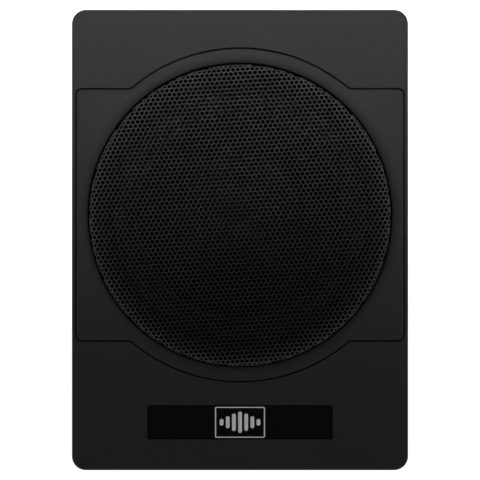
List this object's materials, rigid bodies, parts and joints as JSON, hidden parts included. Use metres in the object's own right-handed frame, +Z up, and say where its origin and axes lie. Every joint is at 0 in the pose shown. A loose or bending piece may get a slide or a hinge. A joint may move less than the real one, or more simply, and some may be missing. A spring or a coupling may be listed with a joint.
{
  "type": "powered car subwoofer",
  "caption": "Flat under-seat powered subwoofer: cast black box with a round perforated domed grille in a trim panel, gloss strip with level bars, and a recessed connector bay.",
  "frame": {"origin": "centre of the footprint, on the underside of the feet", "axes": "+Z up out of the grille, +Y along the length away from the connector bay, +X to the right"},
  "size_m": [0.252, 0.345, 0.074],
  "materials": {
    "cast_black": "matt black powder-coated die casting",
    "plate_black": "black anodised plate",
    "gasket": "closed-cell foam rubber",
    "black_screw": "black oxide steel",
    "rubber": "moulded rubber",
    "trim_black": "finely textured black moulding",
    "grille_black": "black powder-coated perforated steel",
    "screw_steel": "zinc-plated steel",
    "gloss_black": "polished black",
    "bar_silver": "metallised plastic",
    "basket_black": "black-painted casting",
    "cone_paper": "black pressed paper pulp",
    "cap_plastic": "satin black",
    "copper": "enamelled copper wire",
    "former": "rolled aluminium",
    "spider_cloth": "resin-dipped cotton",
    "motor_steel": "zinc-plated low-carbon steel",
    "ferrite": "sintered ferrite",
    "contact_metal": "plated contact metal",
    "circuit_board": "green solder mask",
    "brass": "turned brass",
    "heat_aluminium": "extruded aluminium",
    "device_black": "moulded epoxy",
    "core_iron": "coated powdered iron",
    "can_sleeve": "sleeved aluminium can",
    "lead_red": "PVC insulation",
    "panel_black": "black-painted steel",
    "socket_black": "moulded nylon",
    "socket_natural": "natural nylon",
    "fuse_plastic": "clear tinted plastic",
    "insulator_white": "white plastic",
    "insulator_red": "red plastic",
    "pot_metal": "plated steel can",
    "knob_black": "moulded plastic",
    "lever_white": "acetal",
    "led_blue": "tinted lens"
  },
  "bodies": {
    "enclosure": {"top_shell": "cast_black", "bottom_plate": "plate_black", "enclosure_gasket": "gasket", "bottom_screws": "black_screw", "rubber_feet": "rubber", "grille_trim": "trim_black", "grille_mesh": "grille_black", "trim_screws": "screw_steel", "inlay_strip": "gloss_black", "badge_plate": "gloss_black", "badge_bars": "bar_silver", "driver_basket": "basket_black", "driver_seal": "gasket", "driver_screws": "black_screw", "surround_ring": "gasket", "surround": "rubber", "spider": "spider_cloth", "motor_top_plate": "motor_steel", "magnet": "ferrite", "motor_back_plate": "motor_steel", "terminal_board": "device_black", "terminal_tabs": "contact_metal", "tinsel_leads": "copper", "amp_board": "circuit_board", "board_standoffs": "brass", "board_screws": "screw_steel", "heat_spreader": "heat_aluminium", "power_transistors": "device_black", "transistor_clamp": "heat_aluminium", "toroid_core": "core_iron", "toroid_winding": "copper", "capacitors": "can_sleeve", "speaker_leads": "lead_red", "control_panel": "panel_black", "panel_screws": "black_screw", "power_socket": "socket_black", "power_pins": "contact_metal", "fuse_holder": "socket_black", "fuse_body": "fuse_plastic", "fuse_blades": "screw_steel", "high_level_socket": "socket_natural", "high_level_pins": "contact_metal", "rca_block": "device_black", "rca_sleeves": "contact_metal", "rca_insulator_left": "insulator_white", "rca_insulator_right": "insulator_red", "remote_port": "socket_black", "remote_contacts": "contact_metal", "potentiometers": "pot_metal", "switch_bodies": "pot_metal", "power_led": "led_blue"},
    "cone_assembly": {"cone": "cone_paper", "dust_cap": "cap_plastic", "coil_former": "former", "coil_winding": "copper"},
    "gain_control": {"gain_knob": "knob_black"},
    "lowpass_control": {"lowpass_knob": "knob_black"},
    "bass_control": {"bass_knob": "knob_black"},
    "phase_switch": {"phase_lever": "lever_white"},
    "auto_on_switch": {"auto_on_lever": "lever_white"}
  },
  "joints": [
    {"name": "cone_travel", "type": "slide", "parent": "enclosure", "child": "cone_assembly", "axis": [0, 0, 1], "range_m": [-0.006, 0.006], "stiffness_N_per_m": 3000, "deforming": ["surround", "spider", "tinsel_leads"]},
    {"name": "gain_turn", "type": "hinge", "parent": "enclosure", "child": "gain_control", "pos_m": [0.04, -0.1616, 0.031], "axis": [0, 1, 0], "range_deg": [-140, 140]},
    {"name": "lowpass_turn", "type": "hinge", "parent": "enclosure", "child": "lowpass_control", "pos_m": [0.056, -0.1616, 0.031], "axis": [0, 1, 0], "range_deg": [-140, 140]},
    {"name": "bass_turn", "type": "hinge", "parent": "enclosure", "child": "bass_control", "pos_m": [0.072, -0.1616, 0.031], "axis": [0, 1, 0], "range_deg": [-140, 140]},
    {"name": "phase_slide", "type": "slide", "parent": "enclosure", "child": "phase_switch", "axis": [1, 0, 0], "range_m": [0, 0.0025]},
    {"name": "auto_on_slide", "type": "slide", "parent": "enclosure", "child": "auto_on_switch", "axis": [1, 0, 0], "range_m": [0, 0.0025]}
  ]
}
